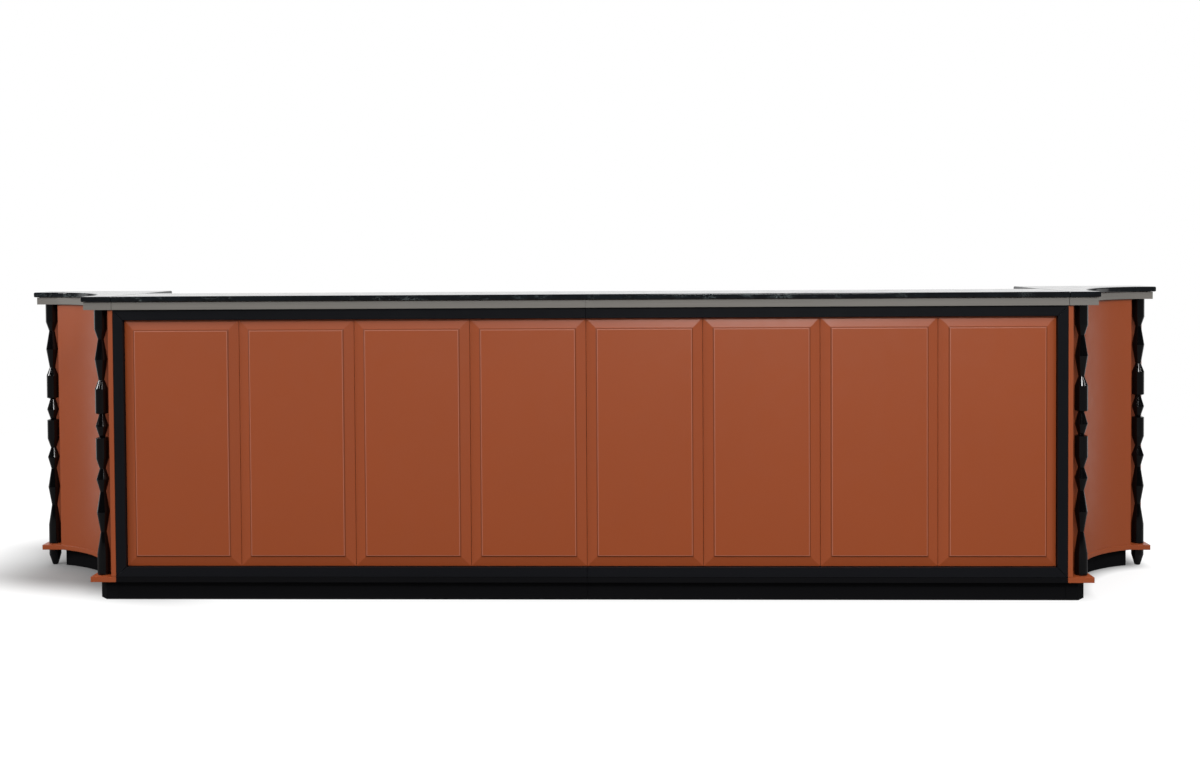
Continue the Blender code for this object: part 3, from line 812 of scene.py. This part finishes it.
class DESK_OT_grommets(DeskOperator, bpy.types.Operator):
    """Set a cable grommet into each worktop"""

    bl_idname = "desk.grommets"
    bl_label = "Cable grommets"

    def make(self, scene):
        fit = scene.desk_fittings
        plastic = moulded_plastic()
        sides = fit.grommet_sides
        outer = fit.grommet_radius
        inner = outer - RING_WIDTH
        ring = [(outer - inset, height) for inset, height in RING_OUTSIDE]
        ring += [(inner + outset, height) for outset, height in RING_INSIDE]
        lid = self.lid(inner - LID_GAP, sides)
        for word, _ in SIDES:
            low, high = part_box(f"worktop_{word}")
            where = Vector(((low.x + high.x) / 2, low.y + fit.grommet_setback, high.z))
            matrix = Matrix.Translation(where)
            parts = {"ring": turned(ring, sides, closed=True), "lid": raised(lid, 0.0, LID_THICKNESS)}
            for part, bm in parts.items():
                new_piece(f"grommet_{part}_{word}", bm, plastic, "desk", matrix)

    def lid(self, radius, sides):
        """Outline of a round lid with a rounded mouth for cables."""
        start = math.asin(MOUTH_RADIUS / radius)
        arc = [-math.pi / 2 + start + (math.tau - 2 * start) * i / sides for i in range(sides + 1)]
        outline = [(radius * math.cos(a), radius * math.sin(a)) for a in arc]
        end = -radius + MOUTH_DEPTH
        bow = [math.pi - math.pi * i / MOUTH_STEPS for i in range(MOUTH_STEPS + 1)]
        outline += [(MOUTH_RADIUS * math.cos(a), end + MOUTH_RADIUS * math.sin(a)) for a in bow]
        return outline


class DESK_OT_locks(DeskOperator, bpy.types.Operator):
    """Fit a cam lock to each upper drawer and each wing door"""

    bl_idname = "desk.locks"
    bl_label = "Locks"

    def make(self, scene):
        fit = scene.desk_fittings
        steel = shared("satin steel", satin_steel)
        for word, side in SIDES:
            drawer = f"drawer_{word}_3"
            low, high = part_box(drawer)
            where = ((low.x + high.x) / 2, high.y, high.z - fit.lock_drop)
            self.lock(f"drawer_lock_{word}", drawer, where, fit.lock_radius, steel)
            door = f"wing_door_{word}"
            low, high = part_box(door)
            free = low.x if side > 0 else high.x
            where = (free + side * fit.lock_inset, high.y, (low.z + high.z) / 2)
            self.lock(f"door_lock_{word}", door, where, fit.lock_radius, steel)

    def lock(self, name, body, where, radius, steel):
        """A domed rosette with a plug parted by its key slot."""
        matrix = facing_staff(where)
        rosette = turned([(radius - inset, height) for inset, height in ROSETTE], ROSETTE_SIDES)
        new_piece(f"{name}_rosette", rosette, steel, body, matrix)
        plug = radius - PLUG_INSET
        start = math.asin(KEY_SLOT_HALF / plug)
        arc = [start + (math.pi - 2 * start) * i / PLUG_STEPS for i in range(PLUG_STEPS + 1)]
        outline = [(plug * math.cos(a), plug * math.sin(a)) for a in arc]
        for word, turn in (("upper", 0.0), ("lower", math.pi)):
            half = raised(outline, *PLUG_HEIGHTS)
            turned_half = matrix @ Matrix.Rotation(turn + math.pi / 2, 4, "Z")
            new_piece(f"{name}_plug_{word}", half, steel, body, turned_half)


class DESK_OT_studio(DeskOperator, bpy.types.Operator):
    """Set the pale floor, the softboxes, the surrounding light and the camera"""

    bl_idname = "desk.studio"
    bl_label = "Studio"

    def make(self, scene):
        scene.view_settings.view_transform = "Standard"
        self.floor(scene)
        self.room(scene)
        self.lamps(scene)
        self.camera(scene)

    def floor(self, scene):
        """A wide floor that takes the shadow near the desk and turns white further out."""
        bm = bmesh.new()
        bmesh.ops.create_grid(bm, x_segments=1, y_segments=1, size=FLOOR_HALF)
        mesh = bpy.data.meshes.new("studio_floor")
        bm.to_mesh(mesh)
        bm.free()
        mesh.materials.append(self.floor_finish(scene.desk_studio))
        obj = bpy.data.objects.new("studio_floor", mesh)
        scene.collection.objects.link(obj)

    def floor_finish(self, studio):
        """Glowing where it is seen, but for the shades beside the desk, and dark where it lights the desk."""
        finish, tree, shader = new_finish("pale floor")
        tree.nodes.remove(shader)
        point = point_on(tree)
        axes = axes_of(tree, point)
        reach = add(tree, "ShaderNodeVectorMath", {0: point}, operation="LENGTH").outputs["Value"]
        far = remap(tree, reach, FLOOR_WHITE)
        rays = add(tree, "ShaderNodeLightPath").outputs
        seen = sums(tree, "MAXIMUM", rays["Is Camera Ray"], rays["Is Transmission Ray"])
        mirrored = remap(tree, axes["Y"], FLOOR_MIRROR_Y, FLOOR_MIRROR)
        seen = sums(tree, "MAXIMUM", seen, product(tree, rays["Is Glossy Ray"], mirrored))
        matt = add(tree, "ShaderNodeBsdfDiffuse", {"Color": toned(studio.floor)}).outputs[0]
        bounce = add(tree, "ShaderNodeBsdfDiffuse", {"Color": toned(studio.floor_bounce)}).outputs[0]
        strength = remap(tree, self.shades(tree, point, axes), RISE, (studio.floor_glow, 0.0))
        glow = add(tree, "ShaderNodeEmission", {"Strength": strength}).outputs[0]
        near = add(tree, "ShaderNodeAddShader", {0: matt, 1: glow}).outputs[0]
        white = add(tree, "ShaderNodeEmission", {"Strength": 1.0}).outputs[0]
        shown = add(tree, "ShaderNodeMixShader", {0: far, 1: near, 2: white}).outputs[0]
        both = add(tree, "ShaderNodeMixShader", {0: seen, 1: bounce, 2: shown}).outputs[0]
        connect(tree, tree.nodes["Material Output"], {"Surface": both})
        return finish

    def shades(self, tree, point, axes):
        """Where the floor glows less: left of the desk, behind it and under its right wing."""
        x, y = axes["X"], axes["Y"]
        slanted = sums(tree, "ADD", y, product(tree, x, LEFT_SHADE_SLANT))
        forward = remap(tree, slanted, LEFT_SHADE_FRONT, RISE, "SMOOTHSTEP")
        backward = remap(tree, y, LEFT_SHADE_BACK, FADE, "SMOOTHSTEP")
        beside = product(tree, band(tree, x, *LEFT_SHADE_X), forward, backward)
        behind = product(tree, band(tree, x, *BACK_SHADE_X), band(tree, y, *BACK_SHADE_Y), BACK_SHADE_LEVEL)
        sweep = add(tree, "ShaderNodeVectorMath", {0: point, 1: SWEEP_MIDDLE}, operation="DISTANCE")
        under = remap(tree, sweep.outputs["Value"], SWEEP_SHADE_REACH, (0.0, SWEEP_SHADE_LEVEL))
        under = product(tree, under, band(tree, x, *SWEEP_SHADE_X), band(tree, y, *SWEEP_SHADE_Y))
        return sums(tree, "MAXIMUM", sums(tree, "MAXIMUM", beside, behind), under)

    def room(self, scene):
        """White behind the desk, soft light mostly from above, and a dim front for polished faces."""
        studio = scene.desk_studio
        world = bpy.data.worlds.new("studio room")
        scene.world = world
        world.use_nodes = True
        tree = world.node_tree
        axes = axes_of(tree, add(tree, "ShaderNodeTexCoord").outputs["Generated"])
        mirrored = remap(tree, axes["Y"], ROOM_MIRROR_Y, (studio.front_dimness, 1.0))
        height = sums(tree, "MAXIMUM", axes["Z"], 0.0)
        rising = product(tree, height, sums(tree, "SUBTRACT", 2.0, height))
        soft = sums(tree, "ADD", product(tree, rising, studio.dome), studio.fill)
        rays = add(tree, "ShaderNodeLightPath").outputs
        seen = sums(tree, "MAXIMUM", rays["Is Camera Ray"], rays["Is Transmission Ray"])
        unseen = midway(tree, rays["Is Glossy Ray"], soft, mirrored)
        inputs = {"Color": (1.0, 1.0, 1.0, 1.0), "Strength": midway(tree, seen, unseen, 1.0)}
        connect(tree, tree.nodes["Background"], inputs)

    def lamps(self, scene):
        """Softboxes, which also draw the streaks on the columns."""
        for name, place, aim, size in SOFTBOXES:
            lamp = bpy.data.lights.new(name, "AREA")
            lamp.shape = "RECTANGLE"
            lamp.size, lamp.size_y = size
            lamp.energy = scene.desk_studio.softbox_power * size[0] * size[1]
            obj = bpy.data.objects.new(name, lamp)
            obj.location = place
            obj.rotation_euler = (Vector(aim) - Vector(place)).to_track_quat("-Z", "Y").to_euler()
            obj.visible_camera = False
            scene.collection.objects.link(obj)

    def camera(self, scene):
        """The camera at the photograph's place, with its lens, lean and shift."""
        studio = scene.desk_studio
        yaw, pitch, roll = studio.camera_yaw, studio.camera_pitch, studio.camera_roll
        flat = math.cos(pitch)
        ahead = Vector((-math.sin(yaw) * flat, math.cos(yaw) * flat, -math.sin(pitch)))
        across = Vector((math.cos(yaw), math.sin(yaw), 0.0))
        upright = across.cross(ahead)
        right = across * math.cos(roll) + upright * math.sin(roll)
        up = upright * math.cos(roll) - across * math.sin(roll)
        turn = Matrix((right, up, -ahead)).transposed().to_4x4()
        lens = bpy.data.cameras.new("studio_camera")
        lens.sensor_width = SENSOR_WIDTH
        lens.lens = studio.lens
        lens.shift_x, lens.shift_y = studio.shift
        obj = bpy.data.objects.new("studio_camera", lens)
        obj.matrix_world = Matrix.Translation(studio.camera_place) @ turn
        scene.collection.objects.link(obj)
        scene.camera = obj


OPERATORS = (
    DESK_OT_front_panels,
    DESK_OT_front_frame,
    DESK_OT_wing_shells,
    DESK_OT_columns,
    DESK_OT_top_boards,
    DESK_OT_stone_tops,
    DESK_OT_staff_boards,
    DESK_OT_doors_and_drawers,
    DESK_OT_hinges,
    DESK_OT_grommets,
    DESK_OT_locks,
    DESK_OT_studio,
)

SETTINGS = {
    "desk_finishes": DeskFinishes,
    "desk_edges": DeskEdges,
    "desk_fittings": DeskFittings,
    "desk_studio": DeskStudio,
}


class DESK_PT_sidebar(bpy.types.Panel):
    """Lists the desk's sizes, finishes and operators"""

    bl_idname = "DESK_PT_sidebar"
    bl_label = "Reception desk"
    bl_space_type = "VIEW_3D"
    bl_region_type = "UI"
    bl_category = "Desk"

    def draw(self, context):
        for name in SETTINGS:
            group = getattr(context.scene, name)
            box = self.layout.box()
            for key in group.bl_rna.properties.keys():
                if key not in ("rna_type", "name"):
                    box.prop(group, key)
        for operator in OPERATORS:
            self.layout.operator(operator.bl_idname)


CLASSES = (*SETTINGS.values(), *OPERATORS, DESK_PT_sidebar)


def register():
    for cls in CLASSES:
        bpy.utils.register_class(cls)
    for name, group in SETTINGS.items():
        setattr(bpy.types.Scene, name, PointerProperty(type=group))


def unregister():
    for name in SETTINGS:
        delattr(bpy.types.Scene, name)
    for cls in reversed(CLASSES):
        bpy.utils.unregister_class(cls)


def main():
    """Builds the dressed desk in its studio."""
    register()
    for operator in OPERATORS:
        group, call = operator.bl_idname.split(".")
        getattr(getattr(bpy.ops, group), call)()


if __name__ == "__main__":
    main()
